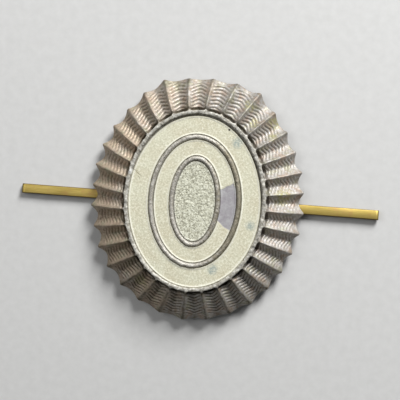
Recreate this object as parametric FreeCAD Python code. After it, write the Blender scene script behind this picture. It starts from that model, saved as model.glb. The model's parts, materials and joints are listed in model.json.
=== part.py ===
"""Oval cap badge: a stamped, fluted rim holding an enamelled oval medallion, with two bend-over prongs.

Millimetres.  The badge lies on its back, on its two prongs folded flat:
    +X  to the right of the badge, across its short width and along the prongs
    +Y  to the top of the badge, along its long height
    +Z  out of the front
The origin is under the middle of the badge, in the plane of the folded prongs' undersides.

One STEP file is written for each separate piece.
"""
import FreeCAD, Part
import math
import os

# ---- driving dimensions -------------------------------------------------------------------------
RIM_WIDTH = 33.7            # tip to tip across X
RIM_HEIGHT = 38.0           # tip to tip along Y
RAY_COUNT = 32              # two-faced rays around the rim
RAY_PHASE = 0.24            # the first crest is this share of a ray clockwise of the top
SHEET = 0.6                 # thickness of the stamped rim, measured upright
EDGE_WIDTH = 0.55           # width of the rim's flat back edge
RIM_BACK_Z = 1.0            # the back edge stands this far above the plane the prongs lie in
CREST_RISE = 3.6            # crest, from back edge to collar
VALLEY_RISE = 2.6           # valley, from back edge to collar
NOTCH_DEPTH = 0.6           # the outline steps in this much between two ray tips
EDGE_HEIGHT = 0.15          # upright cut edge at the end of a valley
TIP_HEIGHT = 0.85           # the same at the tip of a ray
TIP_TWIST = 0.9             # degrees: each ray leans clockwise by this much at its tip
CREST_SAG = 0.40            # how far each crest bows above its own chord
VALLEY_SAG = 0.25           # the same for a valley
FLUTE_HOLLOW = 0.36         # halfway from valley to crest, a flute has climbed this share of the way

COLLAR_HALF_X = 11.05       # outside of the collar around the medallion
COLLAR_HALF_Y = 14.1
COLLAR_WALL = 0.6
LIP_OVERHANG = 0.2          # the collar's top is pressed inwards over the medallion
LIP_HEIGHT = 0.28           # its underside stays just clear of the enamel
LIP_TOP_Z = 4.8
FLUTE_OVERLAP = 0.2         # the flutes run this far into the collar's wall
FLOOR_THICKNESS = 0.4       # the seat that closes the collar underneath

SEAT_CLEARANCE = 0.05       # medallion in its collar
ENAMEL_CLEARANCE = 0.02     # enamel in its cell
MEDALLION_PLATE = 0.8
ENAMEL_THICKNESS = 0.3
RIDGE_WIDTH = 0.8
OUTER_RIDGE = (7.25, 10.4)  # half sizes of each raised ridge, over its outside
INNER_RIDGE = (4.0, 7.1)

PRONG_WIDTH = 1.5
PRONG_THICKNESS = 0.6
PRONG_FOLD_X = 4.0          # each prong folds outwards this far from the middle
PRONG_REACH = 28.4          # the folded prongs' ends
FOLD_GAP = 0.03             # between a leg and the rounded root of its prong
STAPLE_CORNER = 0.5         # outside radius where the staple's bridge turns into a leg
PRONG_CORNER = 0.25         # corners of a prong's free end
SOLDER_THICKNESS = 0.1
SOLDER_LENGTH = 2.8
SOLDER_WIDTH = 2.6
SOLDER_X = 2.3

# ---- sizes that follow --------------------------------------------------------------------------
FLOOR_Z = RIM_BACK_Z + VALLEY_RISE - SHEET
SEAT_Z = FLOOR_Z + FLOOR_THICKNESS
CELL_Z = SEAT_Z + MEDALLION_PLATE
ENAMEL_Z = CELL_Z + ENAMEL_THICKNESS
COLLAR = (COLLAR_HALF_X, COLLAR_HALF_Y)
STAPLE_TOP_Z = FLOOR_Z - SOLDER_THICKNESS
FOLD_Z = PRONG_THICKNESS / 2

ARC_STEPS = 3600            # steps of the sum that measures along the collar


def vec(x, y, z):
    return FreeCAD.Vector(x, y, z)


def grow(half_sizes, amount):
    """Half sizes of an oval that is wider all round by an amount."""
    return half_sizes[0] + amount, half_sizes[1] + amount


def oval_point(half_sizes, angle, z):
    """The point of an oval at an angle counted clockwise from the top."""
    return vec(half_sizes[0] * math.sin(angle), half_sizes[1] * math.cos(angle), z)


def oval_prism(half_sizes, z_low, z_high):
    """A solid oval plate between two heights."""
    half_x, half_y = half_sizes
    ellipse = Part.Ellipse(vec(0, half_y, z_low), vec(half_x, 0, z_low), vec(0, 0, z_low))
    face = Part.Face(Part.Wire(ellipse.toShape()))
    if face.normalAt(0, 0).z < 0:
        face.reverse()
    return face.extrude(vec(0, 0, z_high - z_low))


def oval_ring(outer, inner, z_low, z_high):
    """An oval ring between two heights."""
    return oval_prism(outer, z_low, z_high).cut(oval_prism(inner, z_low - 1, z_high + 1))


# ---- rim ----------------------------------------------------------------------------------------
def ray_angles(count):
    """Angles evenly spaced along the collar's oval, the first at the crest nearest the top."""
    lengths = [0.0]
    for step in range(ARC_STEPS):
        a = oval_point(COLLAR, 2 * math.pi * step / ARC_STEPS, 0)
        b = oval_point(COLLAR, 2 * math.pi * (step + 1) / ARC_STEPS, 0)
        lengths.append(lengths[-1] + a.distanceToPoint(b))
    angles = []
    step = 0
    for index in range(count):
        wanted = lengths[-1] * (index / count + RAY_PHASE / RAY_COUNT)
        while lengths[step + 1] < wanted:
            step += 1
        share = (wanted - lengths[step]) / (lengths[step + 1] - lengths[step])
        angles.append(2 * math.pi * (step + share) / ARC_STEPS)
    return angles


def bowed_edge(inner_end, outer_end, sag):
    """An upright arc from the collar down to the back edge, bowed upwards."""
    middle = (inner_end + outer_end) * 0.5 + vec(0, 0, sag)
    return Part.Arc(inner_end, middle, outer_end).toShape()


def flute_line(angle, climb):
    """The five corners and two arcs of the sheet's section along one line from collar to back edge.

    climb is 0 along a valley, 1 along a crest, and a share between them on a flute's wall.
    """
    rise = VALLEY_RISE + climb * (CREST_RISE - VALLEY_RISE)
    inset = (1 - climb) * NOTCH_DEPTH
    sag = VALLEY_SAG + climb * (CREST_SAG - VALLEY_SAG)
    root = grow(COLLAR, -FLUTE_OVERLAP)
    rim = (RIM_WIDTH / 2, RIM_HEIGHT / 2)
    tip_angle = angle + math.radians(TIP_TWIST)
    edge_z = RIM_BACK_Z + EDGE_HEIGHT + climb * (TIP_HEIGHT - EDGE_HEIGHT)
    top_in = oval_point(root, angle, RIM_BACK_Z + rise)
    low_in = oval_point(root, angle, RIM_BACK_Z + rise - SHEET)
    top_out = oval_point(grow(rim, -inset), tip_angle, edge_z)
    back_out = oval_point(grow(rim, -inset), tip_angle, RIM_BACK_Z)
    low_out = oval_point(grow(rim, -inset - EDGE_WIDTH), tip_angle, RIM_BACK_Z)
    return {
        "top": bowed_edge(top_in, top_out, sag),
        "low": bowed_edge(low_in, low_out, sag),
        "top_in": top_in,
        "low_in": low_in,
        "top_out": top_out,
        "back_out": back_out,
        "low_out": low_out,
    }


def flat_quad(a, b, c, d):
    return Part.Face(Part.makePolygon([a, b, c, d, a]))


def fluted_sheet():
    """The rays as one closed solid: two ruled skins, a cut edge, a flat back edge and an inner edge."""
    climbs = (1, FLUTE_HOLLOW, 0, FLUTE_HOLLOW)
    angles = ray_angles(len(climbs) * RAY_COUNT)
    lines = [flute_line(angle, climbs[index % len(climbs)]) for index, angle in enumerate(angles)]
    faces = []
    for index, a in enumerate(lines):
        b = lines[(index + 1) % len(lines)]
        faces.append(Part.makeRuledSurface(a["top"], b["top"]))
        faces.append(Part.makeRuledSurface(a["low"], b["low"]))
        faces.append(flat_quad(a["top_out"], b["top_out"], b["back_out"], a["back_out"]))
        faces.append(flat_quad(a["back_out"], b["back_out"], b["low_out"], a["low_out"]))
        faces.append(flat_quad(a["top_in"], b["top_in"], b["low_in"], a["low_in"]))
    skin = Part.makeCompound(faces)
    skin.sewShape()
    solid = Part.Solid(skin.Shells[0])
    if solid.Volume < 0:
        solid.reverse()
    return solid


def rim_shell():
    """Rays, the collar that the medallion sits in, and the floor under it: one stamping."""
    wall_inside = grow(COLLAR, -COLLAR_WALL)
    lip_inside = grow(wall_inside, -LIP_OVERHANG)
    wall = oval_ring(COLLAR, wall_inside, FLOOR_Z, LIP_TOP_Z)
    lip = oval_ring(COLLAR, lip_inside, LIP_TOP_Z - LIP_HEIGHT, LIP_TOP_Z)
    floor = oval_prism(COLLAR, FLOOR_Z, SEAT_Z)
    return fluted_sheet().fuse([wall, lip, floor])


# ---- medallion ----------------------------------------------------------------------------------
def medallion_edge():
    return grow(COLLAR, -COLLAR_WALL - SEAT_CLEARANCE)


def ridge(outside):
    return oval_ring(outside, grow(outside, -RIDGE_WIDTH), SEAT_Z, LIP_TOP_Z)


def medallion():
    """The oval plate with its two raised ridges."""
    plate = oval_prism(medallion_edge(), SEAT_Z, CELL_Z)
    return plate.fuse([ridge(OUTER_RIDGE), ridge(INNER_RIDGE)])


def enamel_ring(outside, inside):
    """Enamel filling the cell between two ovals."""
    return oval_ring(grow(outside, -ENAMEL_CLEARANCE), grow(inside, ENAMEL_CLEARANCE), CELL_Z, ENAMEL_Z)


def outer_enamel():
    return enamel_ring(medallion_edge(), OUTER_RIDGE)


def middle_enamel():
    return enamel_ring(grow(OUTER_RIDGE, -RIDGE_WIDTH), INNER_RIDGE)


def centre_enamel():
    return oval_prism(grow(INNER_RIDGE, -RIDGE_WIDTH - ENAMEL_CLEARANCE), CELL_Z, ENAMEL_Z)


# ---- prongs -------------------------------------------------------------------------------------
def strip_box(x_low, x_high, z_low, z_high, width=PRONG_WIDTH):
    """A box centred on the prongs' line."""
    return Part.makeBox(x_high - x_low, width, z_high - z_low, vec(x_low, -width / 2, z_low))


def corner_edges(solid, test):
    """The straight edges of a solid whose middle passes a test."""
    return [edge for edge in solid.Edges if test(edge.CenterOfMass)]


def prong_staple():
    """The bridge soldered behind the medallion's seat, with a leg down to each fold."""
    outside_x = PRONG_FOLD_X + PRONG_THICKNESS / 2
    leg_foot_z = PRONG_THICKNESS + FOLD_GAP
    staple = strip_box(-outside_x, outside_x, STAPLE_TOP_Z - PRONG_THICKNESS, STAPLE_TOP_Z)
    for side in (-1, 1):
        ends = sorted((side * outside_x, side * (outside_x - PRONG_THICKNESS)))
        staple = staple.fuse(strip_box(ends[0], ends[1], leg_foot_z, STAPLE_TOP_Z))
    staple = staple.removeSplitter()

    def is_outer_corner(point):
        return abs(abs(point.x) - outside_x) < 1e-6 and abs(point.z - STAPLE_TOP_Z) < 1e-6

    return staple.makeFillet(STAPLE_CORNER, corner_edges(staple, is_outer_corner))


def prong(side):
    """One folded prong: a strip whose rounded root turns about the fold line."""
    blade = strip_box(PRONG_FOLD_X, PRONG_REACH, 0, PRONG_THICKNESS)

    def is_end_corner(point):
        at_end = abs(point.x - PRONG_REACH) < 1e-6
        return at_end and abs(point.z - FOLD_Z) < 1e-6

    blade = blade.makeFillet(PRONG_CORNER, corner_edges(blade, is_end_corner))
    knuckle = Part.makeCylinder(
        PRONG_THICKNESS / 2, PRONG_WIDTH, vec(PRONG_FOLD_X, -PRONG_WIDTH / 2, FOLD_Z), vec(0, 1, 0)
    )
    solid = blade.fuse(knuckle).removeSplitter()
    return solid if side > 0 else solid.mirror(vec(0, 0, 0), vec(1, 0, 0))


def solder_pad(side):
    """The solder between the staple's bridge and the floor of the rim."""
    middle = side * SOLDER_X
    return strip_box(
        middle - SOLDER_LENGTH / 2, middle + SOLDER_LENGTH / 2, STAPLE_TOP_Z, FLOOR_Z, SOLDER_WIDTH
    )


# ---- write --------------------------------------------------------------------------------------
def parts():
    yield "rim_shell", rim_shell()
    yield "medallion", medallion()
    yield "outer_enamel", outer_enamel()
    yield "middle_enamel", middle_enamel()
    yield "centre_enamel", centre_enamel()
    yield "prong_staple", prong_staple()
    for name, side in (("left", -1), ("right", 1)):
        yield name + "_prong", prong(side)
        yield name + "_solder", solder_pad(side)


os.makedirs("parts", exist_ok=True)
for node, shape in parts():
    box = shape.BoundBox
    print(node, len(shape.Solids), "solid", "valid" if shape.isValid() else "INVALID",
          "volume %.2f" % shape.Volume, "z %.2f to %.2f" % (box.ZMin, box.ZMax))
    shape.exportStep("parts/" + node + ".step")
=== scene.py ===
"""The looks of an oval cap badge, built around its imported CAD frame.

The frame is the CAD model's: +X to the right as one looks at the badge's front, +Y to its top, +Z out of
its front. Lengths are in millimetres, turned into metres by MM, unless a comment says metres. An angle
around the badge is counted clockwise from its top.
"""
import json
import math

import bpy
import numpy as np
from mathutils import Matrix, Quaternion, Vector, noise


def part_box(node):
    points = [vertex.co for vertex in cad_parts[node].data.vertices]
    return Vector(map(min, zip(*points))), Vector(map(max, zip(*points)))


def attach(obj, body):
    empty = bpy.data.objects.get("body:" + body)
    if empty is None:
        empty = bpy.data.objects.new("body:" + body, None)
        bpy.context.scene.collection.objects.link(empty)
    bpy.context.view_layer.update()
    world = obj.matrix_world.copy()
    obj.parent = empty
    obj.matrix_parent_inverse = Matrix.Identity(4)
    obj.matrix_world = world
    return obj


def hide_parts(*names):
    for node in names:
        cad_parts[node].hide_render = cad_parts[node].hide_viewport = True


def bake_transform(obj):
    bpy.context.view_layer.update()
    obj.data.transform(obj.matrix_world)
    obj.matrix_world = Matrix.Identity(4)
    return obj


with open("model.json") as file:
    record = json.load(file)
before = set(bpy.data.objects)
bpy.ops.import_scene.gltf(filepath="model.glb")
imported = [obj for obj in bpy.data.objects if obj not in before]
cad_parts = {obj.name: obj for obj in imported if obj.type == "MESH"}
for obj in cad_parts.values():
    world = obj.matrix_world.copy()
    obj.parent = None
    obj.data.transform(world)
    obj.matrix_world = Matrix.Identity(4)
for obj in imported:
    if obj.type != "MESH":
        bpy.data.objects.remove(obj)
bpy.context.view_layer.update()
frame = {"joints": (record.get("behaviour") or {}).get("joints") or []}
MM = 0.001
TAU = 2 * math.pi


# ---- sizes taken from the frame ------------------------------------------------------------------
def half_sizes(node):
    """Half a node's width and half its height."""
    low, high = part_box(node)
    return np.array([high.x - low.x, high.y - low.y]) / 2 / MM


def low_z(node):
    """The height of a node's lowest point."""
    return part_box(node)[0].z / MM


def high_z(node):
    """The height of a node's highest point."""
    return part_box(node)[1].z / MM


TIPS_PAST_BOX = 0.02        # no ray's tip stands exactly on an axis, so their oval is a little larger
RIDGE_WIDTH = 0.8
CELL_GAP = 0.02             # between a ridge and the enamel beside it
COLLAR_MARGIN = 0.65        # from the medallion's edge out to the collar's

RIM = half_sizes("rim_shell") + TIPS_PAST_BOX
BACK_Z = low_z("rim_shell")
LIP_Z = high_z("rim_shell")
FLOOR_Z = high_z("left_solder")         # where the hollow back ends, and the bridge is soldered on
SEAT_Z = low_z("medallion")
MEDALLION = half_sizes("medallion")
OUTER_RIDGE = half_sizes("middle_enamel") + RIDGE_WIDTH + CELL_GAP
INNER_RIDGE = half_sizes("centre_enamel") + RIDGE_WIDTH + CELL_GAP
CELL_Z = low_z("outer_enamel")
FIELD_Z = high_z("outer_enamel")
COLLAR = MEDALLION + COLLAR_MARGIN
STRIP_WIDTH = (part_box("left_prong")[1].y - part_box("left_prong")[0].y) / MM
STRIP_THICKNESS = high_z("left_prong") - low_z("left_prong")
STRIP_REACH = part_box("right_prong")[1].x / MM
BRIDGE_TOP_Z = high_z("prong_staple")
RIGHT_FOLD = next(joint["pos_m"] for joint in frame["joints"] if joint["name"] == "right_prong_bend")
FOLD_X = RIGHT_FOLD[0] / MM
FOLD_Z = RIGHT_FOLD[2] / MM

# ---- rim: driving values -------------------------------------------------------------------------
RAYS = 32
RAY_PHASE = 0.24            # the first crest is this share of a ray clockwise of the top
RAY_COLUMNS = 20            # columns of points from one crest to the next
TOP_ROWS = 116              # rows of points from the collar to the back edge, on the upper skin
LOW_ROWS = 10               # the same on the hollow underside

SHEET = 0.6                 # thickness of the stamped sheet, measured upright
EDGE_WIDTH = 0.55           # width of the flat back edge
CREST_RISE = 3.6            # crest, from back edge to collar
VALLEY_RISE = 2.6           # valley, from back edge to collar
CREST_SAG = 0.40            # how far a crest bows above its own chord
VALLEY_SAG = 0.25           # the same for a valley
CREST_FLAT = 0.93           # a flute's walls end at this share of the way to the crest, which is flattened
EDGE_HEIGHT = 0.15          # upright cut edge at the end of a valley
TIP_HEIGHT = 0.85           # the same at the tip of a ray
NOTCH = 0.52                # how far the outline steps in between two tips, on average round the rim
NOTCH_SWING = 0.38          # deeper by this at the two sides, shallower at the top and the bottom
POCKET = 0.26               # how much deeper a valley is beside the collar
CUSP_REACH = 0.30           # the collar's edge reaches out this far over each crest
CUSP_WIDTH = 0.24           # and this wide to each side of it
HALF_FLUTE = 1.3            # about the way from a valley's middle to a crest, at the collar

RIB_PITCH = 0.60
RIB_HEIGHT = 0.15
RIB_SLANT = math.tan(math.radians(25))
RIB_WIDEST_AT = math.radians(-40)       # the ribs are set a little wider apart on this side of the rim
DENTS = 0.035               # height of the broad dents in the rays
CREST_WEAR = 0.07           # height of the uneven wear along the crests

TIP_TWIST = math.radians(0.9)           # each ray leans clockwise by this much at its tip
# the rays are not quite evenly spaced, nor evenly leaning: slow waves round the rim, each with its size in
# radians, its number in the whole turn and its start in degrees
DRIFT = ((0.015, 1, 90), (0.006, 1, 0), (0.011, 2, 0))
LEAN = ((-0.005, 1, 90), (-0.015, 1, 0))
# a few rays have been bent out flatter: which, over how many rays, and how far their tips reach out
SPLAYED = ((1.9, 1.1, 1.0), (29.8, 0.9, 0.75), (20.0, 1.6, 0.25))

# how dark each part of a ray is painted, from 0 (clean) to 1: dirt, and painted shade in the grooves, the
# valleys and at the collar
DIRT_AND_SHADE_IN_GROOVES = 0.75
DIRT_AND_SHADE_IN_VALLEYS = 0.10
DIRT_AND_SHADE_AT_COLLAR = 0.70
DIRT_BESIDE_CRESTS = 0.27
DIRT_ON_CRESTS = 0.27
DIRT_AT_TIPS = 0.20
DIRT_ALL_OVER = 0.05
GRIME_AND_SHADE_AT = math.radians(210)            # the rays are darker on this side, the lower left, which faces away from the key light: painted shade, with some grime
GRIME_AND_SHADE_IN_GROOVES = 0.22
GRIME_AND_SHADE_ALL_OVER = 0.15
PAINTED_LIGHT_AT_SIDES = 0.45                       # this share of the darkening is taken off at the left and right, making them lighter: painted light
DIRT_ON_EDGE = 0.2                      # on the back edge
DIRT_ON_BACK = 0.45                     # all over the hollow back

# the collar's top edge, from outside to inside: how far out (positive: a share of a cusp; negative: in
# millimetres), how high against the lip's top, and how rough from 0 to 1
LIP_PROFILE = (
    (1.0, -0.34, 0.2), (0.7, -0.17, 0.5), (0.15, -0.06, 0.9), (-0.10, -0.01, 1.0), (-0.24, 0.0, 1.0),
    (-0.38, -0.02, 1.0), (-0.48, -0.07, 0.8), (-0.58, -0.13, 0.5), (-0.68, -0.20, 0.35),
    (-0.78, -0.27, 0.2), (-0.85, -0.31, 0.1), (-0.88, -0.36, 0.0), (-0.90, -0.46, 0.0),
)
# how dark each row of that profile is painted, with dirt and painted shade, and how bare the plate is there
LIP_DIRT_AND_SHADE = (0.7, 0.35, 0.1, 0.0, 0.0, 0.05, 0.15, 0.25, 0.2, 0.1, 0.1, 0.3, 0.6)
LIP_BARE = (0.1, 0.5, 0.9, 1.0, 1.0, 1.0, 0.9, 0.8, 0.9, 1.0, 1.0, 0.6, 0.2)
LIP_WIDTH_UNEVEN = 0.16     # the share by which the lip's width wanders
LIP_CRIMP = 0.17            # height of its coarse dents
LIP_BURR = 0.10             # height of its fine ones
LIP_SINK = 0.30             # how far the lip's inner edge has sunk where a gap is open
LIP_TUCK = 0.22             # how far it is pressed down where it lies on the enamel
SHELF_INSET = 0.98          # the opening around the medallion is this much smaller than the collar's oval
SHELF_DROP = 0.02           # the seat lies this much under the medallion
SHELF_WALL = 0.3            # the opening's plain wall ends this high above the medallion's underside


# ---- small helpers -------------------------------------------------------------------------------
def smoothstep(low, high, value):
    """0 up to low, 1 from high on, and a smooth step between them."""
    share = np.clip((value - low) / (high - low), 0, 1)
    return share * share * (3 - 2 * share)


def noise_field(x, y, z, scale, seed):
    """Perlin noise at points given by three arrays; scale is in cycles per millimetre."""
    seed_step = 17.31
    x, y, z = np.broadcast_arrays(x, y, z)
    points = np.stack([x, y, z], -1).reshape(-1, 3) * scale + seed * seed_step
    values = [noise.noise(Vector(point)) for point in points.tolist()]
    return np.array(values).reshape(x.shape)


def wrap_grid(rows, columns, closed_rows):
    """Quads of a grid whose columns close on themselves, and whose rows do if asked."""
    row = np.arange(rows if closed_rows else rows - 1)[:, None]
    column = np.arange(columns)[None, :]
    next_row = (row + 1) % rows
    next_column = (column + 1) % columns
    quads = [row * columns + column, next_row * columns + column,
             next_row * columns + next_column, row * columns + next_column]
    return np.stack([np.broadcast_to(corner, (len(row), columns)) for corner in quads], -1).reshape(-1, 4)


def mesh_piece(name, points_mm, faces, attributes=None):
    """A smooth-shaded mesh object from points in millimetres."""
    mesh = bpy.data.meshes.new(name)
    mesh.from_pydata((np.asarray(points_mm) * MM).tolist(), [], faces)
    mesh.update()
    for key, values in (attributes or {}).items():
        layer = mesh.attributes.new(key, "FLOAT", "POINT")
        layer.data.foreach_set("value", np.asarray(values, np.float32).ravel())
    mesh.polygons.foreach_set("use_smooth", [True] * len(mesh.polygons))
    piece = bpy.data.objects.new(name, mesh)
    bpy.context.scene.collection.objects.link(piece)
    return piece


def ring_grid(name, rows, attributes=None, centre_first=None, centre_last=None):
    """A piece from rows of points around the badge, each row an array (columns, 3).

    A row of points is closed on itself. centre_first and centre_last are points that the first and the
    last row are closed onto; with neither, the last row joins the first.
    """
    grid = np.stack(rows)
    count, columns = grid.shape[:2]
    is_tube = centre_first is None
    points = grid.reshape(-1, 3)
    faces = wrap_grid(count, columns, is_tube).tolist()
    centres = [] if is_tube else [centre_first, centre_last]
    if centres:
        first = count * columns
        last_row = (count - 1) * columns
        for column in range(columns):
            following = (column + 1) % columns
            faces.append([first, column, following])
            faces.append([first + 1, last_row + following, last_row + column])
        points = np.concatenate([points, np.array(centres, float)])
    layers = {}
    for key, values in (attributes or {}).items():
        layers[key] = np.concatenate([np.asarray(values, float).ravel(), np.zeros(len(centres))])
    return mesh_piece(name, points, faces, layers)


def oval(half, angles, offset=0.0, z=0.0):
    """Points of an oval at these angles, its half sizes both larger by offset."""
    x = (half[0] + offset) * np.sin(angles)
    y = (half[1] + offset) * np.cos(angles)
    return np.stack([x, y, np.broadcast_to(z, x.shape)], -1)


def spaced_angles(half, count, start=0.0):
    """Angles evenly spaced along an oval's length; start is a share of the whole way round."""
    steps = 7200
    angles = np.linspace(0, TAU, steps + 1)
    gaps = np.hypot(np.diff(half[0] * np.sin(angles)), np.diff(half[1] * np.cos(angles)))
    length = np.concatenate([[0], np.cumsum(gaps)])
    turns, share = np.divmod(np.arange(count) / count + start, 1.0)
    return np.interp(share * length[-1], length, angles) + TAU * turns


# ---- materials -----------------------------------------------------------------------------------
class Shader:
    """A node material under construction."""

    def __init__(self, name):
        self.material = bpy.data.materials.new(name)
        self.material.use_nodes = True
        self.tree = self.material.node_tree
        self.surface = self.tree.nodes["Principled BSDF"]
        self.position = self.add("ShaderNodeTexCoord").outputs["Object"]

    def add(self, kind, inputs=None, **properties):
        """A new node, with its properties set and its sockets filled or linked."""
        node = self.tree.nodes.new(kind)
        for key, value in properties.items():
            setattr(node, key, value)
        for key, value in (inputs or {}).items():
            self.put(node.inputs[key], value)
        return node

    def put(self, socket, value):
        """Links another node's output to a socket, or sets a plain value on it."""
        if isinstance(value, bpy.types.NodeSocket):
            self.tree.links.new(value, socket)
        else:
            socket.default_value = value

    def scaled(self, scale):
        """Object coordinates in millimetres times a scale, which may differ along each axis."""
        scale = (scale,) * 3 if np.isscalar(scale) else scale
        mapping = self.add("ShaderNodeMapping", {"Vector": self.position})
        mapping.inputs["Scale"].default_value = [s / MM for s in scale]
        return mapping.outputs["Vector"]

    def noise(self, scale, detail=3.0, roughness=0.55):
        """Fractal noise around a half; scale is in cycles per millimetre."""
        node = self.add("ShaderNodeTexNoise", {"Vector": self.scaled(scale), "Scale": 1.0,
                                               "Detail": detail, "Roughness": roughness})
        return node.outputs["Fac"]

    def sideways(self):
        """The place across the badge, in millimetres to its right."""
        split = self.add("ShaderNodeSeparateXYZ", {"Vector": self.scaled(1.0)})
        return split.outputs["X"]

    def attribute(self, name):
        """A value that the mesh carries at its points."""
        return self.add("ShaderNodeAttribute", attribute_name=name).outputs["Fac"]

    def math(self, operation, first, second):
        """One sum on two values."""
        node = self.add("ShaderNodeMath", operation=operation)
        self.put(node.inputs[0], first)
        self.put(node.inputs[1], second)
        return node.outputs[0]

    def remap(self, value, low, high, to_low=0.0, to_high=1.0):
        """A value between low and high turned into one between to_low and to_high, and held there."""
        node = self.add("ShaderNodeMapRange", {"Value": value, "From Min": low, "From Max": high,
                                               "To Min": to_low, "To Max": to_high})
        return node.outputs["Result"]

    def mix(self, factor, under, over):
        """The colour under at factor 0, the colour over at factor 1."""
        colour_under, colour_over, colour_out = 6, 7, 2     # the sockets that a mix of colours uses
        node = self.add("ShaderNodeMix", data_type="RGBA")
        self.put(node.inputs["Factor"], factor)
        self.put(node.inputs[colour_under], under)
        self.put(node.inputs[colour_over], over)
        return node.outputs[colour_out]

    def spot(self, x, y, radius, wobble=0.35):
        """1 inside an uneven spot on the front of the badge, 0 outside."""
        centre = self.add("ShaderNodeVectorMath", {0: self.position}, operation="MULTIPLY")
        centre.inputs[1].default_value = (1 / MM, 1 / MM, 0)
        distance = self.add("ShaderNodeVectorMath", {0: centre.outputs[0]}, operation="DISTANCE")
        distance.inputs[1].default_value = (x, y, 0)
        uneven = self.math("MULTIPLY", self.noise(1.1), wobble * radius * 2)
        reach = self.math("ADD", distance.outputs["Value"], uneven)
        return self.remap(reach, radius * 1.45, radius * 0.75)

    def stroke(self, x, y, degrees, length, width):
        """1 along a thin mark on the front of the badge, 0 beside it."""
        mapping = self.add("ShaderNodeMapping", {"Vector": self.position}, vector_type="TEXTURE")
        mapping.inputs["Location"].default_value = (x * MM, y * MM, FIELD_Z * MM)
        mapping.inputs["Rotation"].default_value = (0, 0, math.radians(degrees))
        mapping.inputs["Scale"].default_value = (length / 2 * MM, width / 2 * MM, MM)
        reach = self.add("ShaderNodeVectorMath", {0: mapping.outputs["Vector"]}, operation="LENGTH")
        return self.remap(reach.outputs["Value"], 1.2, 0.7)

    def bump(self, height, distance_mm, strength=1.0, below=None):
        """A normal bent by a height, over the normal of a coarser bump if one is given."""
        node = self.add("ShaderNodeBump", {"Height": height, "Distance": distance_mm * MM,
                                           "Strength": strength})
        if below is not None:
            self.put(node.inputs["Normal"], below)
        return node.outputs["Normal"]

    def finish(self, **inputs):
        """The material, with the surface's sockets filled; a space in a socket's name is written as _."""
        for key, value in inputs.items():
            self.put(self.surface.inputs[key.replace("_", " ")], value)
        return self.material


# uneven spots on the front: x, y, radius
BRASS_SPOTS = ((7.4, 15.2, 1.0), (8.3, 12.7, 0.9), (11.3, 12.9, 1.1), (11.3, 10.7, 0.8), (13.6, 1.6, 1.5),
               (-8.0, -13.1, 1.2))
STAINS = ((6.0, 9.5, 1.0), (3.5, -10.4, 0.95), (8.9, -3.1, 0.85))
BLACK_SPECK = (4.63, 11.4, 0.16)
NICK = (-10.25, 3.95, 0.50)
# fine scratches in the outer enamel: x, y, degrees from +X towards +Y, length, width
SCRATCHES = ((-9.1, 3.75, -38, 1.3, 0.13), (-9.5, 4.2, -20, 0.9, 0.10), (-8.9, 3.1, -60, 0.7, 0.09))


# colours, as linear red, green, blue and alpha
PLATE_PINK = (0.57, 0.46, 0.35, 1)
PLATE_GREY = (0.54, 0.52, 0.50, 1)
PLATE_BROWN = (0.47, 0.35, 0.28, 1)
PLATE_OLIVE = (0.39, 0.395, 0.285, 1)
PLATE_TARNISH = (0.34, 0.28, 0.19, 1)
PLATE_DIRT_AND_SHADE = (0.050, 0.042, 0.020, 1)
LIP_DULL = (0.30, 0.28, 0.23, 1)
LIP_WORN_AND_GLINTING = (0.62, 0.61, 0.56, 1)
NICK_WHITE = (0.86, 0.86, 0.83, 1)
WORN_BRASS = (0.38, 0.37, 0.17, 1)
RIDGE_LIGHT = (0.62, 0.60, 0.55, 1)
RIDGE_DULL = (0.42, 0.39, 0.33, 1)
RIDGE_PAINTED_SHADE = (0.27, 0.24, 0.16, 1)
RIDGE_PIT = (0.10, 0.085, 0.05, 1)
CREAM_LIGHT = (0.72, 0.71, 0.55, 1)
CREAM_SHADE = (0.66, 0.62, 0.46, 1)
CENTRE_LIGHT = (0.72, 0.73, 0.58, 1)
CENTRE_SHADE = (0.67, 0.67, 0.53, 1)
STIPPLE_DARK = (0.28, 0.27, 0.20, 1)
STIPPLE_LIGHT = (0.88, 0.88, 0.77, 1)
GRAIN_DARK = (0.44, 0.42, 0.30, 1)
GRAIN_LIGHT = (0.88, 0.87, 0.74, 1)
ENAMEL_PAINTED_HIGHLIGHT = (0.93, 0.92, 0.84, 1)
ENAMEL_DIRT_AND_SHADE = (0.10, 0.085, 0.055, 1)
STAIN_GREEN = (0.34, 0.40, 0.37, 1)
UNDER_COAT_DARK = (0.33, 0.31, 0.33, 1)
UNDER_COAT_LIGHT = (0.43, 0.425, 0.43, 1)
SCRATCH_BROWN = (0.20, 0.18, 0.11, 1)
SPECK_BLACK = (0.03, 0.025, 0.02, 1)
BRASS_LIGHT = (0.80, 0.63, 0.20, 1)
BRASS_SHADE = (0.50, 0.36, 0.07, 1)
BRASS_RED = (0.62, 0.38, 0.14, 1)
BRASS_DIRT_AND_SHADE = (0.13, 0.085, 0.03, 1)
SOLDER_LIGHT = (0.42, 0.42, 0.43, 1)
SOLDER_DARK = (0.20, 0.19, 0.17, 1)
PAPER_DARK = (0.60, 0.60, 0.59, 1)
PAPER_LIGHT = (0.64, 0.64, 0.63, 1)
SKY = (0.97, 0.98, 1.0, 1)


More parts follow.
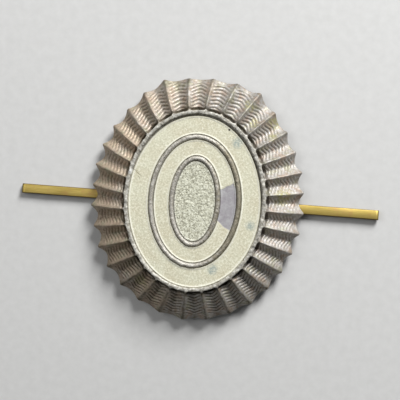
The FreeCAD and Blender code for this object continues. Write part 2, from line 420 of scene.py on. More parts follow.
def oxidised_silver():
    """Worn silver plate over brass: pinkish grey, dark in the hollows with dirt and painted shade, yellow
    where brass shows.
    """
    s = Shader("oxidised_silver")
    cavity = s.attribute("cavity")
    cloud = s.noise(0.22, 4.0)
    mottle = s.noise(2.6, 4.0, 0.65)
    fine = s.noise(9.0, 3.0, 0.7)
    across_badge = s.math("ADD", s.sideways(), s.remap(cloud, 0.3, 0.7, -8.0, 8.0))
    plate = s.mix(s.remap(across_badge, -13.0, 2.0), PLATE_PINK, PLATE_GREY)
    tint = s.noise(0.75, 2.0)
    plate = s.mix(s.remap(tint, 0.52, 0.66, 0.0, 0.7), plate, PLATE_BROWN)
    plate = s.mix(s.remap(tint, 0.46, 0.32, 0.0, 0.7), plate, PLATE_OLIVE)
    plate = s.mix(s.remap(mottle, 0.42, 0.72, 0.0, 0.85), plate, PLATE_TARNISH)
    # the cavity values darken the plate: dirt and painted shade, with painted light at the sides
    dirt_and_shade = s.math("MULTIPLY", cavity, s.remap(mottle, 0.25, 0.6, 0.75, 1.0))
    colour = s.mix(dirt_and_shade, plate, PLATE_DIRT_AND_SHADE)
    bare = s.attribute("bare")
    colour = s.mix(bare, colour, LIP_DULL)
    # bright mottles on the bare lip: worn metal, and painted glints
    rub_and_glint = s.math("MULTIPLY", bare, s.remap(s.noise(2.4, 5.0, 0.8), 0.42, 0.60))
    colour = s.mix(rub_and_glint, colour, LIP_WORN_AND_GLINTING)
    colour = s.mix(s.spot(*NICK), colour, NICK_WHITE)
    brass = 0.0
    for x, y, radius in BRASS_SPOTS:
        brass = s.math("MAXIMUM", brass, s.spot(x, y, radius))
    brass = s.math("MULTIPLY", brass, s.remap(mottle, 0.42, 0.56, 0.15, 0.85))
    brass = s.math("MULTIPLY", brass, s.remap(cavity, 0.25, 0.55, 1.0, 0.25))
    colour = s.mix(brass, colour, WORN_BRASS)
    roughness = s.remap(mottle, 0.3, 0.7, 0.48, 0.66)
    metallic = s.remap(bare, 0.0, 1.0, 0.52, 0.20)
    grain = s.bump(fine, 0.035, 0.8)
    return s.finish(Base_Color=colour, Metallic=metallic, Roughness=roughness, Normal=grain)


def ridge_metal():
    """Dull, lightly pitted silver plate on the medallion's ridges, with painted shade making it darker to
    the right.
    """
    s = Shader("ridge_metal")
    mottle = s.noise(1.6, 4.0, 0.6)
    pits = s.noise(7.0, 3.0, 0.75)
    colour = s.mix(s.remap(mottle, 0.35, 0.7), RIDGE_LIGHT, RIDGE_DULL)
    # darker towards the right: painted shade
    right_side = s.math("ADD", s.sideways(), s.remap(mottle, 0.3, 0.7, -1.5, 1.5))
    colour = s.mix(s.remap(right_side, 1.5, 5.0, 0.0, 0.75), colour, RIDGE_PAINTED_SHADE)
    colour = s.mix(s.remap(pits, 0.45, 0.36), colour, RIDGE_PIT)
    roughness = s.remap(pits, 0.3, 0.7, 0.66, 0.48)
    return s.finish(Base_Color=colour, Metallic=0.45, Roughness=roughness, Normal=s.bump(pits, 0.06))


def enamel_base(name, light, shade):
    """Enamel with soft clouds of colour, a fine grain, a painted highlight line along its edges and a line
    of dirt and painted shade at them.
    """
    s = Shader(name)
    cloud = s.noise(0.35, 3.0)
    grain = s.noise(3.3, 4.0, 0.75)
    colour = s.mix(s.remap(cloud, 0.35, 0.68), light, shade)
    colour = s.mix(s.remap(grain, 0.56, 0.36, 0.0, 0.55), colour, GRAIN_DARK)
    colour = s.mix(s.remap(grain, 0.52, 0.66, 0.0, 0.7), colour, GRAIN_LIGHT)
    # a light line along each edge: painted highlight
    colour = s.mix(s.attribute("edge_painted_highlight"), colour, ENAMEL_PAINTED_HIGHLIGHT)
    # a dark line at each edge: dark joint, dirt and painted shade
    colour = s.mix(s.attribute("edge_dirt_and_shade"), colour, ENAMEL_DIRT_AND_SHADE)
    return s, colour, grain


def cream_enamel():
    """The outer and middle fills: stained, scratched, and grey where the top coat is lost."""
    s, colour, grain = enamel_base("cream_enamel", CREAM_LIGHT, CREAM_SHADE)
    for x, y, radius in STAINS:
        stain = s.math("MULTIPLY", s.spot(x, y, radius), s.remap(grain, 0.58, 0.42, 0.35, 0.95))
        colour = s.mix(stain, colour, STAIN_GREEN)
    under_coat = s.mix(s.remap(s.noise(0.9, 4.0, 0.7), 0.4, 0.62), UNDER_COAT_DARK, UNDER_COAT_LIGHT)
    colour = s.mix(s.attribute("chip"), colour, under_coat)
    for stroke in SCRATCHES:
        colour = s.mix(s.math("MULTIPLY", s.stroke(*stroke), 0.7), colour, SCRATCH_BROWN)
    colour = s.mix(s.spot(*BLACK_SPECK, wobble=0.1), colour, SPECK_BLACK)
    roughness = s.remap(grain, 0.3, 0.7, 0.54, 0.70)
    return s.finish(Base_Color=colour, Roughness=roughness, Normal=s.bump(grain, 0.045, 0.8),
                    Specular_IOR_Level=0.25)


def stippled_enamel():
    """The centre fill, with its coarse stipple."""
    s, colour, grain = enamel_base("stippled_enamel", CENTRE_LIGHT, CENTRE_SHADE)
    stipple = s.noise(3.9, 3.0, 0.7)
    colour = s.mix(s.remap(stipple, 0.54, 0.38, 0.0, 0.9), colour, STIPPLE_DARK)
    colour = s.mix(s.remap(stipple, 0.54, 0.70, 0.0, 0.8), colour, STIPPLE_LIGHT)
    normal = s.bump(grain, 0.03, 0.6, below=s.bump(stipple, 0.14))
    return s.finish(Base_Color=colour, Roughness=0.58, Normal=normal)


def brass_strip():
    """Brass brushed along the strip, with redder blotches, and edges darkened by tarnish and painted shade.
    """
    s = Shader("brass_strip")
    streak = s.noise((0.35, 14.0, 14.0), 3.0, 0.6)
    blotch = s.noise(0.55, 3.0)
    colour = s.mix(s.remap(streak, 0.3, 0.7), BRASS_LIGHT, BRASS_SHADE)
    colour = s.mix(s.remap(blotch, 0.55, 0.78), colour, BRASS_RED)
    colour = s.mix(s.attribute("edge_dirt_and_shade"), colour, BRASS_DIRT_AND_SHADE)
    roughness = s.remap(streak, 0.3, 0.7, 0.34, 0.50)
    brushed = s.bump(streak, 0.02, 0.6)
    return s.finish(Base_Color=colour, Metallic=0.85, Roughness=roughness, Normal=brushed)


def solder():
    """Dull, lumpy solder."""
    s = Shader("solder")
    lumps = s.noise(1.8, 4.0, 0.6)
    colour = s.mix(s.remap(lumps, 0.35, 0.65), SOLDER_LIGHT, SOLDER_DARK)
    return s.finish(Base_Color=colour, Metallic=0.9, Roughness=0.5, Normal=s.bump(lumps, 0.06, 0.7))


# ---- rim -----------------------------------------------------------------------------------------
# a flute is the hollow between two crests: each column of points has its flute, and its place across it,
# from -1 at the crest before to 0 in the valley and 1 at the crest after
COLUMNS = RAYS * RAY_COLUMNS
EVEN_ANGLES = spaced_angles(COLLAR, COLUMNS, RAY_PHASE / RAYS)
ACROSS = 2 * (np.arange(COLUMNS) % RAY_COLUMNS) / RAY_COLUMNS - 1
FLUTE = np.arange(COLUMNS) // RAY_COLUMNS


def slow_waves(waves):
    """The sum of a few waves round the rim: size, waves in the whole turn, start in degrees."""
    total = np.zeros(COLUMNS)
    for size, count, start in waves:
        total += size * np.sin(count * EVEN_ANGLES + math.radians(start))
    return total


ANGLES = EVEN_ANGLES + slow_waves(DRIFT)
TURN_AT_TIP = TIP_TWIST + slow_waves(LEAN)


def splay():
    """How far each column's end reaches out past the rim's oval."""
    place = np.arange(COLUMNS) / RAY_COLUMNS
    total = np.zeros(COLUMNS)
    for centre, spread, size in SPLAYED:
        total += size * np.exp(-((place - centre) / spread) ** 2)
    return total


def climb(across):
    """How far up a flute's wall is, from 0 in the valley to 1 on the flattened crest."""
    reach = np.minimum(np.abs(across), CREST_FLAT) / CREST_FLAT
    return 0.15 * reach + 0.85 * reach ** 2.1


def uneven_values(seed):
    """One small random-looking value for each flute or crest around the rim."""
    step = 1.37
    return noise_field(np.arange(RAYS) * step, 0.5, 0.5, 1.0, seed)


def flute_variation(seed, size):
    """A value for each column, the same all over a flute."""
    return uneven_values(seed)[FLUTE] * size


def crest_variation(seed, size):
    """A value for each column, its own on each crest and fading to nothing in the valleys beside it."""
    nearest = (FLUTE + (ACROSS > 0)) % RAYS
    return uneven_values(seed)[nearest] * size * np.abs(ACROSS) ** 2


def cusp():
    """How far the collar's edge reaches out at each column: a small point over each crest."""
    from_crest = (1 - np.abs(ACROSS)) * HALF_FLUTE
    return CUSP_REACH * np.exp(-(from_crest / CUSP_WIDTH) ** 2)


def skin_point(share, low_skin):
    """Points of the sheet's upper or lower skin, a share of the way from collar to back edge."""
    up = climb(ACROSS) + crest_variation(3, 0.12)
    rise = VALLEY_RISE + up * (CREST_RISE - VALLEY_RISE)
    sag = VALLEY_SAG + up * (CREST_SAG - VALLEY_SAG)
    inset = (1 - up) * (NOTCH - NOTCH_SWING * np.cos(2 * ANGLES)) + crest_variation(5, 0.25)
    end_z = BACK_Z + (0 if low_skin else EDGE_HEIGHT + up * (TIP_HEIGHT - EDGE_HEIGHT))
    start_z = BACK_Z + rise - (SHEET if low_skin else 0)
    start = COLLAR[:, None] + (0 if low_skin else cusp())
    end = RIM[:, None] + splay() * (0.55 + 0.45 * up) - inset - (EDGE_WIDTH if low_skin else 0)
    half = start + (end - start) * share
    z = start_z + (end_z - start_z) * share + 4 * sag * share * (1 - share)
    turned = ANGLES + TURN_AT_TIP * share
    return np.stack([half[0] * np.sin(turned), half[1] * np.cos(turned), z], -1)


def skin_normals(grid):
    """Normals of a grid of rows and closed columns."""
    along = np.gradient(grid, axis=0)
    around = np.roll(grid, -1, axis=1) - np.roll(grid, 1, axis=1)
    normals = np.cross(around, along)
    normals /= np.linalg.norm(normals, axis=-1, keepdims=True)
    return normals * np.sign(normals[..., 2:3])


def distance_down(grid):
    """How far each point of a grid is from its first row, along its own column."""
    steps = np.linalg.norm(np.diff(grid, axis=0), axis=-1)
    return np.concatenate([np.zeros((1, COLUMNS)), np.cumsum(steps, axis=0)])


def ribs(grid):
    """Height of the cross ribs over the smooth upper skin, and how deep in a groove each point is."""
    along = distance_down(grid)
    crest_gap = np.linalg.norm(grid[:, RAY_COLUMNS] - grid[:, 0], axis=-1)[:, None]
    valley_round = 0.012
    reach = np.sqrt(ACROSS ** 2 + valley_round)
    slant = RIB_SLANT * (1 + flute_variation(7, 0.5))
    wander = 0.05 * noise_field(grid[..., 0], grid[..., 1], 0.0, 0.9, 2)
    pitch = RIB_PITCH * (1 + 0.08 * np.cos(ANGLES - RIB_WIDEST_AT))
    turns = (along + wander + slant * reach * crest_gap / 2) / pitch + flute_variation(9, 3.0)
    bump = np.abs(np.sin(math.pi * turns)) ** 0.8
    strength = 1 + 0.5 * noise_field(grid[..., 0], grid[..., 1], 0.0, 0.8, 4)
    fade = (1 - smoothstep(0.64, 0.84, np.abs(ACROSS))) * smoothstep(0.28, 0.46, along)
    from_tip = along[-1] - along - 0.75 - flute_variation(13, 0.7)
    fade = fade * (0.18 + 0.82 * smoothstep(-0.35, 0.25, from_tip))
    return RIB_HEIGHT * strength * fade * bump, fade * (1 - bump)


def ray_dirt_and_shade(smooth, along, groove):
    """How dark each point of the upper skin is painted, with dirt and with painted shade and light."""
    from_valley = np.abs(ACROSS)
    valley = 1 - smoothstep(0.0, 0.5, from_valley)
    band = smoothstep(0.62, 0.84, from_valley)
    crest = smoothstep(0.84, 0.95, from_valley)
    near_collar = (1 - smoothstep(0.25, 0.60, along)) * (1 - 0.6 * band)
    near_tip = 1 - smoothstep(0.0, 1.3, along[-1] - along)
    chipped = 0.35 * noise_field(smooth[..., 0], smooth[..., 1], 0.0, 1.2, 14)
    # darker towards the lower left, away from the key light: painted shade, with some grime
    grime_and_shade = smoothstep(-0.2, 0.7, np.cos(ANGLES - GRIME_AND_SHADE_AT))
    # lighter at the left and right: painted light
    lit_sides = smoothstep(0.70, 0.97, np.abs(np.sin(ANGLES)))
    # darker in grooves, valleys and at the collar: dirt and painted shade
    dirt_and_shade = DIRT_AND_SHADE_IN_GROOVES * groove ** 1.3 + DIRT_AND_SHADE_IN_VALLEYS * valley + DIRT_AND_SHADE_AT_COLLAR * near_collar
    dirt_and_shade = dirt_and_shade + grime_and_shade * (GRIME_AND_SHADE_IN_GROOVES * groove + GRIME_AND_SHADE_ALL_OVER)
    dirt_and_shade = dirt_and_shade + DIRT_BESIDE_CRESTS * band + (DIRT_ON_CRESTS + chipped) * crest
    dirt_and_shade = dirt_and_shade + DIRT_AT_TIPS * near_tip + DIRT_ALL_OVER
    return np.clip(dirt_and_shade * (1 - PAINTED_LIGHT_AT_SIDES * lit_sides), 0, 1)


def upper_skin():
    """The rays' upper skin with its ribs, dents and worn crests, and how dark each point is painted, with
    dirt and shade.
    """
    smooth = np.stack([skin_point(share, False) for share in np.linspace(0, 1, TOP_ROWS)])
    x, y = smooth[..., 0], smooth[..., 1]
    along = distance_down(smooth)
    height, groove = ribs(smooth)
    dents = DENTS * noise_field(x, y, 0.0, 0.55, 6)
    worn_crests = CREST_WEAR * smoothstep(0.80, 0.92, np.abs(ACROSS)) * noise_field(x, y, 0.0, 1.5, 8)
    pocket = POCKET * (1 - smoothstep(0.12, 0.55, along)) * (1 - np.abs(ACROSS) ** 3)
    lift = height + dents + worn_crests - pocket
    shaped = smooth + skin_normals(smooth) * lift[..., None]
    shaped[-1, :, 2] = smooth[-1, :, 2]
    return shaped, ray_dirt_and_shade(smooth, along, groove)


def open_gap(angles):
    """1 around the top, where the lip stands clear of the enamel, and 0 where it lies on it, lower down."""
    return smoothstep(-0.35, 0.85, np.cos(angles - math.radians(20)))


def sunk_share(offset):
    """How far each column of one row of the lip has sunk into the open gap."""
    return open_gap(ANGLES) * smoothstep(0.50, 0.68, -offset)


def lip_rows(skin_start):
    """The collar's rough top edge, pressed in over the medallion: rows from the skin inwards."""
    place = oval(COLLAR, ANGLES)
    x, y = place[:, 0], place[:, 1]
    wide = LIP_WIDTH_UNEVEN * noise_field(x, y, 0.0, 0.33, 11)
    rows = []
    for offset, drop, loose in LIP_PROFILE:
        crimp = LIP_CRIMP * noise_field(x, y, offset * 0.9, 1.3, 12)
        burr = LIP_BURR * noise_field(x, y, offset * 0.9, 3.1, 13)
        rough = loose * (crimp + burr)
        push = offset * cusp() if offset > 0 else offset * (1 + wide)
        tucked = (1 - open_gap(ANGLES)) * smoothstep(0.48, 0.62, -offset)
        z = LIP_Z + drop + rough - LIP_SINK * sunk_share(offset) - LIP_TUCK * tucked
        z = np.maximum(z, skin_start[:, 2] + 0.03) if offset > 0 else z
        rows.append(oval(COLLAR, ANGLES, push + 0.6 * np.roll(rough, 5), z))
    return rows


def rim_piece():
    """One closed skin: seat, collar, lip, rays, back edge, hollow back and floor."""
    top, top_dirt_and_shade = upper_skin()
    lip = lip_rows(top[0])
    shelf_z = SEAT_Z - SHELF_DROP
    seat = [
        oval(MEDALLION * 0.5, ANGLES, 0.0, shelf_z),
        oval(COLLAR, ANGLES, -SHELF_INSET, shelf_z),
        oval(COLLAR, ANGLES, -SHELF_INSET, SEAT_Z + SHELF_WALL),
    ]
    low = [skin_point(share, True) for share in np.linspace(1, 0, LOW_ROWS)]
    edge = skin_point(1.0, False)
    edge[:, 2] = BACK_Z
    floor = [oval(COLLAR, ANGLES, 0.0, FLOOR_Z), oval(COLLAR * 0.55, ANGLES, 0.0, FLOOR_Z)]
    rows = seat + lip[::-1] + list(top) + [edge] + low + floor

    # the seat, hidden under the medallion, is painted fully dark, as shade
    dirt_and_shade = [np.ones(COLUMNS)] * len(seat)
    for (offset, _, _), level in zip(LIP_PROFILE[::-1], LIP_DIRT_AND_SHADE[::-1]):
        sunk = sunk_share(offset)
        # where the gap under the lip is open, its inner edge is painted fully dark: painted shade, with
        # dirt
        dirt_and_shade.append(level * (1 - sunk) + sunk)
    dirt_and_shade += list(top_dirt_and_shade) + [np.full(COLUMNS, DIRT_ON_EDGE)]
    dirt_and_shade += [np.full(COLUMNS, DIRT_ON_BACK)] * (len(low) + len(floor))
    bare = np.zeros((len(rows), COLUMNS))
    bare[len(seat):len(seat) + len(lip)] = np.array(LIP_BARE[::-1])[:, None]

    piece = ring_grid("rim", rows, {"cavity": np.stack(dirt_and_shade), "bare": bare},
                      (0, 0, shelf_z), (0, 0, FLOOR_Z))
    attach(piece, "badge")
    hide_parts("rim_shell")
    piece.data.materials.append(oxidised_silver())


# ---- medallion -----------------------------------------------------------------------------------
MEDALLION_COLUMNS = 360
# a ridge's rounded section, from its inner side to its outer: offset from its outer edge, and height
# against the lip's top
RIDGE_PROFILE = (
    (-0.77, -0.38), (-0.73, -0.27), (-0.67, -0.17), (-0.58, -0.06), (-0.50, -0.01), (-0.38, 0.0),
    (-0.28, -0.01), (-0.20, -0.06), (-0.11, -0.17), (-0.05, -0.27), (-0.01, -0.38),
)
RIDGE_DENTS = 0.07          # height of the ridges' coarse unevenness
RIDGE_BURR = 0.05           # height of their fine unevenness
OUTER_FILL_INSET = 0.89     # the outer enamel ends this far in from the collar's oval
LIP_RUN = 0.26              # and reaches this much further out where the lip lies on it
FILL_ROWS = 30              # rows of points across a fill
CENTRE_ROWS = 34
CENTRE_HOLE = np.array([0.02, 0.04])    # the innermost row's oval, closed onto the middle
SKIN_UNEVEN = 0.010         # height of an enamel's slow waves
FINE_STIPPLE = 0.004        # height of the cream enamel's stipple
COARSE_STIPPLE = 0.05       # the same in the centre
MENISCUS = 0.08             # how much higher a fill stands just inside its edge
MENISCUS_AT = 0.10          # how far from the edge, and how wide to each side
EDGE_PAINTED_HIGHLIGHT = 0.65           # strength of the painted highlight along a fill's edge
EDGE_PAINTED_HIGHLIGHT_AT = 0.19        # how far it lies from the edge
EDGE_PAINTED_HIGHLIGHT_WIDTH = 0.07
EDGE_DIRT_AND_SHADE = 0.60            # strength of the dark line at a fill's edge: a dark joint, with painted shade
GAP_DIRT_AND_SHADE = 0.8              # the same where a gap is open under the lip, where it is mostly painted shade
EDGE_DIRT_AND_SHADE_WIDTH = 0.065
CHIP_STEP = 0.035           # thickness of the lost top coat
# the patch of the middle fill that has lost its top coat: its corners, clockwise
CHIP = (
    (3.9, 2.15), (5.85, 3.25), (6.9, 1.0), (6.7, -1.8),
    (5.75, -4.15), (4.85, -3.65), (3.3, -2.3), (3.3, 1.7),
)


def ridge_rows(outside, angles):
    """The rows of an uneven ridge, from the cell inside it to the cell outside it."""
    rows = []
    for offset, drop in RIDGE_PROFILE:
        flat = oval(outside, angles, offset)
        dents = RIDGE_DENTS * noise_field(flat[:, 0], flat[:, 1], 0.0, 1.6, 21)
        rough = dents + RIDGE_BURR * noise_field(flat[:, 0], flat[:, 1], 0.0, 3.3, 22)
        rows.append(oval(outside, angles, offset + 0.5 * rough, LIP_Z + drop + rough))
    return rows


def medallion_piece(metal):
    """The oval plate with its two ridges."""
    angles = spaced_angles(OUTER_RIDGE, MEDALLION_COLUMNS)
    rows = [oval(INNER_RIDGE, angles, -RIDGE_WIDTH, CELL_Z)]
    rows += ridge_rows(INNER_RIDGE, angles)
    rows += [oval(INNER_RIDGE, angles, 0.0, CELL_Z), oval(OUTER_RIDGE, angles, -RIDGE_WIDTH, CELL_Z)]
    rows += ridge_rows(OUTER_RIDGE, angles)
    rows += [oval(OUTER_RIDGE, angles, 0.0, CELL_Z), oval(MEDALLION, angles, 0.0, CELL_Z)]
    rows += [oval(MEDALLION, angles, 0.0, SEAT_Z)]
    piece = ring_grid("medallion_plate", rows, None, (0, 0, CELL_Z), (0, 0, SEAT_Z))
    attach(piece, "badge")
    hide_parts("medallion")
    piece.data.materials.append(metal)


def chip_depth(x, y):
    """1 inside the patch where the middle enamel has lost its top coat, 0 outside."""
    edge = np.full(x.shape, np.inf)
    wobble = 0.10 * noise_field(x, y, 0.0, 1.7, 31)
    for index, (ax, ay) in enumerate(CHIP):
        bx, by = CHIP[(index + 1) % len(CHIP)]
        length = math.hypot(bx - ax, by - ay)
        inside = ((by - ay) * (x - ax) - (bx - ax) * (y - ay)) / length
        edge = np.minimum(edge, inside)
    return smoothstep(-0.05, 0.06, edge + wobble)


def enamel_piece(name, outside, inside, rows, node, material, stipple):
    """A fill of enamel between two ovals, or out to one oval from the middle."""
    is_ring = inside[0] > CENTRE_HOLE[0]
    is_outer = name == "outer_fill"
    angles = spaced_angles(outside, MEDALLION_COLUMNS)
    shares = np.linspace(0, 1, rows)
    run = LIP_RUN * (1 - open_gap(angles)) if is_outer else 0.0
    grid = np.stack([oval(inside + (outside - inside) * share, angles, run * share, FIELD_Z)
                     for share in shares])
    x, y = grid[..., 0], grid[..., 1]
    width = float(np.mean(outside - inside))
    edge_share = np.minimum(shares, 1 - shares) if is_ring else 1 - shares
    from_edge = edge_share[:, None] * width

    chip = chip_depth(x, y) if name == "middle_fill" else np.zeros(x.shape)
    skin = SKIN_UNEVEN * noise_field(x, y, 0.0, 1.3, 33) + stipple * noise_field(x, y, 0.0, 2.9, 34)
    meniscus = MENISCUS * np.exp(-((from_edge - MENISCUS_AT) / MENISCUS_AT) ** 2)
    grid[..., 2] += skin + meniscus - CHIP_STEP * chip

    # dark line at each edge, darkest in the open gap under the lip: dirt and painted shade
    strength = np.full(x.shape, EDGE_DIRT_AND_SHADE)
    if is_outer:
        strength[rows // 2:] = GAP_DIRT_AND_SHADE * open_gap(angles)
    dirt_and_shade = strength * np.exp(-(from_edge / EDGE_DIRT_AND_SHADE_WIDTH) ** 2)
    # a light line just inside each edge: painted highlight
    light = EDGE_PAINTED_HIGHLIGHT * np.exp(-((from_edge - EDGE_PAINTED_HIGHLIGHT_AT) / EDGE_PAINTED_HIGHLIGHT_WIDTH) ** 2) * (1 - chip)

    bottom = [oval(outside, angles, run, CELL_Z)]
    if is_ring:
        bottom.append(oval(inside, angles, 0.0, CELL_Z))
    none_below = np.zeros((len(bottom), MEDALLION_COLUMNS))
    layers = {
        "edge_dirt_and_shade": np.concatenate([dirt_and_shade, none_below + 1]),
        "edge_painted_highlight": np.concatenate([light, none_below]),
        "chip": np.concatenate([chip, none_below]),
    }
    centres = (None, None) if is_ring else ((0, 0, FIELD_Z), (0, 0, CELL_Z))
    piece = ring_grid(name, list(grid) + bottom, layers, *centres)
    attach(piece, "badge")
    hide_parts(node)
    piece.data.materials.append(material)


# ---- prongs --------------------------------------------------------------------------------------
STRIP_CORNER = 0.14         # radius of the strip's long edges
BEND_RADIUS = 0.6           # of the strip's middle, at each corner
LEG_END_Z = 1.6             # the staple's legs end, and the prongs' strips start, at this height
LEG_STRAIGHT = 0.3          # the prongs' strips go straight down this far before they bend
TIP_LIFT = 0.16             # a folded prong rises this much past its fold
WAVE = 0.03                 # and is this wavy at its tip
WAVE_TURN = 0.9             # radians of the wave in each millimetre
# both have been bent a little towards the bottom of the badge, and have tipped, their upper faces towards
# its top: the left one less than the right
STRIP_DRIFT = -0.3
STRIP_ROLL = {-1: math.radians(9), 1: math.radians(13)}


def strip_section():
    """Points round the strip's section: how far to its side, and how far out of its face."""
    section = []
    for sign_y, sign_n, start in ((1, 1, 0), (-1, 1, 90), (-1, -1, 180), (1, -1, 270)):
        for step in range(4):
            turn = math.radians(start + step * 30)
            section.append((sign_y * (STRIP_WIDTH / 2 - STRIP_CORNER) + STRIP_CORNER * math.cos(turn),
                            sign_n * (STRIP_THICKNESS / 2 - STRIP_CORNER) + STRIP_CORNER * math.sin(turn)))
    return np.array(section)


def no_change(share):
    """For a strip that neither twists nor drifts."""
    return 0.0


def strip_piece(name, path, material, twist=no_change, drift=no_change):
    """A strip with rounded edges along a path of (x, z) points.

    twist and drift give its roll and its place sideways at a share of the way along it.
    """
    path = np.array(path, float)
    steps = np.linalg.norm(np.diff(path, axis=0), axis=1)
    along = np.concatenate([[0], np.cumsum(steps)])
    tangent = np.gradient(path, along, axis=0)
    tangent /= np.linalg.norm(tangent, axis=1, keepdims=True)
    section = strip_section()
    points = []
    for index, (x, z) in enumerate(path):
        angle = twist(along[index] / along[-1])
        shift = drift(along[index] / along[-1])
        normal = np.array([-tangent[index, 1], tangent[index, 0]])
        for side, out in section:
            across = side * math.cos(angle) - out * math.sin(angle)
            lifted = side * math.sin(angle) + out * math.cos(angle)
            points.append((x + normal[0] * lifted, across + shift, z + normal[1] * lifted))
    count = len(section)
    faces = []
    for row in range(len(path) - 1):
        for column in range(count):
            following = (column + 1) % count
            faces.append([row * count + column, row * count + following,
                          (row + 1) * count + following, (row + 1) * count + column])
    faces.append(list(range(count))[::-1])
    faces.append([(len(path) - 1) * count + column for column in range(count)])
    around = np.tile(np.abs(section[:, 0]) / (STRIP_WIDTH / 2), len(path))
    # darker along both long edges: tarnish and painted shade
    dirt_and_shade = smoothstep(0.70, 1.0, around)
    piece = mesh_piece(name, points, faces, {"edge_dirt_and_shade": dirt_and_shade})
    piece.data.materials.append(material)
    return piece


def arc(centre, radius, start_deg, end_deg, steps):
    """Points of an arc in the XZ plane, angles counted from +X towards +Z."""
    turns = np.radians(np.linspace(start_deg, end_deg, steps))
    return [(centre[0] + radius * math.cos(t), centre[1] + radius * math.sin(t)) for t in turns]


def staple_bridge(material):
    """The bridge behind the medallion, with its two legs."""
    middle_z = BRIDGE_TOP_Z - STRIP_THICKNESS / 2
    corner = (FOLD_X - BEND_RADIUS, middle_z - BEND_RADIUS)
    right_half = [(x, middle_z) for x in np.linspace(0, corner[0], 6)[1:-1]]
    right_half += arc(corner, BEND_RADIUS, 90, 0, 9)
    right_half += [(FOLD_X, z) for z in np.linspace(corner[1], LEG_END_Z, 3)[1:]]
    left_half = [(-x, z) for x, z in right_half[::-1]]
    bridge = strip_piece("staple_bridge", left_half + [(0, middle_z)] + right_half, material)
    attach(bridge, "badge")
    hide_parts("prong_staple")


def prong_path(side):
    """A folded prong's path: down its leg, round the fold and out to the tip."""
    path = [(FOLD_X, LEG_END_Z), (FOLD_X, LEG_END_Z - LEG_STRAIGHT)]
    path += arc((FOLD_X + BEND_RADIUS, FOLD_Z + BEND_RADIUS), BEND_RADIUS, 180, 270, 10)
    for x in np.linspace(FOLD_X + BEND_RADIUS, STRIP_REACH, 60)[1:]:
        share = (x - FOLD_X) / (STRIP_REACH - FOLD_X)
        lift = TIP_LIFT * float(smoothstep(0.0, 0.3, share))
        wave = WAVE * math.sin(x * WAVE_TURN + side) * share
        path.append((x, FOLD_Z + lift + wave))
    return [(side * x, z) for x, z in path]


def prong_strips(material):
    """The two prongs, each a strip that bends from its leg on."""
    def drift(share):
        return STRIP_DRIFT * float(smoothstep(0.12, 0.5, share))

    for side, word in ((-1, "left"), (1, "right")):
        def twist(share, roll=-side * STRIP_ROLL[side]):
            return roll * float(smoothstep(0.12, 0.35, share))

        path = prong_path(side)
        strip = strip_piece(word + "_prong_strip", path, material, twist, drift)
        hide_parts(word + "_prong")
        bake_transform(strip)


SOLDER_COLUMNS = 48
SOLDER_ROWS = 14
SOLDER_SPREAD = 1.05        # how much wider the lumpy joint is than its plain node
SOLDER_DEPTH = 0.62         # how far it stands out of the hollow back
SOLDER_LUMPS = 0.12


def solder_piece(side, word, material):
    """A lumpy fillet of solder around the bridge."""
    low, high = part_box(word + "_solder")
    middle_x = (low.x + high.x) / 2 / MM
    half = half_sizes(word + "_solder") * SOLDER_SPREAD
    turns = np.linspace(0, TAU, SOLDER_COLUMNS, endpoint=False)
    rows = []
    for row in range(SOLDER_ROWS):
        lean = math.pi * (row + 1) / (2 * SOLDER_ROWS)
        x = middle_x + half[0] * np.cos(turns) * math.sin(lean)
        y = half[1] * np.sin(turns) * math.sin(lean)
        z = FLOOR_Z - SOLDER_DEPTH * math.cos(lean)
        lumps = SOLDER_LUMPS * noise_field(x, y, z, 0.9, 41 + side)
        rows.append(np.stack([x * (1 + 0.3 * lumps), y * (1 + lumps), z + lumps * math.cos(lean)], -1))
    piece = ring_grid(word + "_solder_joint", rows, None,
                      (middle_x, 0, FLOOR_Z - SOLDER_DEPTH), (middle_x, 0, FLOOR_Z + 0.01))
    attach(piece, "badge")
    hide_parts(word + "_solder")
    piece.data.materials.append(material)


# ---- studio --------------------------------------------------------------------------------------
VIEW_RIGHT = math.radians(6.86)         # how far the camera stands to the picture's right of straight above
VIEW_UP = math.radians(4.23)            # how far to its top
VIEW_ROLL = math.radians(3.87)          # how far the picture's right is turned from +X towards +Y
VIEW_DISTANCE = 180.0
VIEW_TARGET = Vector((0.67, 0.17, 3.0))
VIEW_WIDTH = 62.35          # how much of the badge's plane the picture takes in
SENSOR_WIDTH = 36.0
CLIP_NEAR = 0.01            # metres
CLIP_FAR = 10.0             # metres
FLOOR_REACH = 1.5           # metres from the middle of the floor to its sides
FLOOR_BELOW = 0.02          # the floor lies this much under the badge's lowest points
SKY_STRENGTH = 0.08
# soft square lights: bearing in the picture from its right towards its top, and height over the picture's
# plane, in degrees; distance and side in metres; power in watts
LIGHTS = {"key": (62, 38, 0.45, 0.17, 3.2), "fill": (160, 45, 0.6, 0.4, 1.0)}


def view_axes():
    """The picture's right and up directions and the direction towards the camera."""
    flat_right = Vector((math.cos(VIEW_ROLL), math.sin(VIEW_ROLL), 0))
    flat_up = Vector((-math.sin(VIEW_ROLL), math.cos(VIEW_ROLL), 0))
    towards = Vector((0, 0, 1)) * math.cos(VIEW_RIGHT) + flat_right * math.sin(VIEW_RIGHT)
    towards = towards * math.cos(VIEW_UP) + flat_up * math.sin(VIEW_UP)
    towards.normalize()
    right = flat_up.cross(towards).normalized()
    return right, towards.cross(right), towards


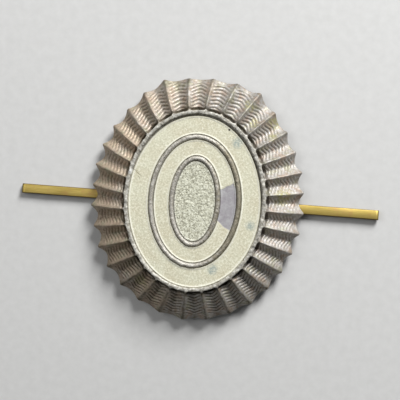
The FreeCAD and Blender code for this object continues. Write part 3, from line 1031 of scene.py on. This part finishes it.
def add_camera():
    """The camera, aimed at the badge and rolled so that the picture's up is up."""
    up, towards = view_axes()[1:]
    data = bpy.data.cameras.new("camera")
    data.sensor_width = SENSOR_WIDTH
    data.lens = data.sensor_width * VIEW_DISTANCE / VIEW_WIDTH
    data.clip_start = CLIP_NEAR
    data.clip_end = CLIP_FAR
    camera = bpy.data.objects.new("camera", data)
    camera.location = (VIEW_TARGET + towards * VIEW_DISTANCE) * MM
    camera.rotation_mode = "QUATERNION"
    camera.rotation_quaternion = (-towards).to_track_quat("-Z", "Y")
    turned = camera.rotation_quaternion @ Vector((0, 1, 0))
    angle = math.atan2(turned.cross(up).dot(towards), turned.dot(up))
    camera.rotation_quaternion = Quaternion(towards, angle) @ camera.rotation_quaternion
    bpy.context.scene.collection.objects.link(camera)
    bpy.context.scene.camera = camera


def add_area_light(name, bearing_deg, height_deg, distance, size, power):
    """A soft square light aimed at the origin, placed as LIGHTS says."""
    right, up, towards = view_axes()
    bearing = math.radians(bearing_deg)
    height = math.radians(height_deg)
    direction = (right * math.cos(bearing) + up * math.sin(bearing)) * math.cos(height)
    direction += towards * math.sin(height)
    data = bpy.data.lights.new(name, "AREA")
    data.size = size
    data.energy = power
    light = bpy.data.objects.new(name, data)
    light.location = direction * distance
    light.rotation_mode = "QUATERNION"
    light.rotation_quaternion = (-direction).to_track_quat("-Z", "Y")
    bpy.context.scene.collection.objects.link(light)


def add_floor():
    """Plain pale paper, faintly speckled."""
    floor_mesh = bpy.data.meshes.new("floor")
    corners = [(FLOOR_REACH * x, FLOOR_REACH * y, 0) for x, y in ((-1, -1), (1, -1), (1, 1), (-1, 1))]
    floor_mesh.from_pydata(corners, [], [(0, 1, 2, 3)])
    floor = bpy.data.objects.new("floor", floor_mesh)
    floor.location.z = -FLOOR_BELOW * MM
    bpy.context.scene.collection.objects.link(floor)
    s = Shader("floor_paper")
    speckle = s.noise(0.8, 3.0)
    colour = s.mix(s.remap(speckle, 0.3, 0.7), PAPER_DARK, PAPER_LIGHT)
    floor_mesh.materials.append(s.finish(Base_Color=colour, Roughness=0.9))


def add_light():
    """A dim sky and the soft lights."""
    world = bpy.data.worlds.new("studio")
    world.use_nodes = True
    background = world.node_tree.nodes["Background"]
    background.inputs["Color"].default_value = SKY
    background.inputs["Strength"].default_value = SKY_STRENGTH
    bpy.context.scene.world = world
    for name, placing in LIGHTS.items():
        add_area_light(name, *placing)
    bpy.context.scene.view_settings.view_transform = "Standard"


# ---- the badge -----------------------------------------------------------------------------------
def add_enamel():
    """The three fills: two of one cream enamel, and the stippled one in the middle."""
    cream = cream_enamel()
    enamel_piece("outer_fill", COLLAR - OUTER_FILL_INSET, OUTER_RIDGE + CELL_GAP, FILL_ROWS,
                 "outer_enamel", cream, FINE_STIPPLE)
    enamel_piece("middle_fill", OUTER_RIDGE - RIDGE_WIDTH - CELL_GAP, INNER_RIDGE + CELL_GAP, FILL_ROWS,
                 "middle_enamel", cream, FINE_STIPPLE)
    enamel_piece("centre_fill", INNER_RIDGE - RIDGE_WIDTH - CELL_GAP, CENTRE_HOLE, CENTRE_ROWS,
                 "centre_enamel", stippled_enamel(), COARSE_STIPPLE)


def add_badge():
    """Every piece of the badge."""
    rim_piece()
    medallion_piece(ridge_metal())
    add_enamel()
    brass = brass_strip()
    staple_bridge(brass)
    prong_strips(brass)
    tin = solder()
    solder_piece(-1, "left", tin)
    solder_piece(1, "right", tin)


add_badge()
add_floor()
add_light()
add_camera()
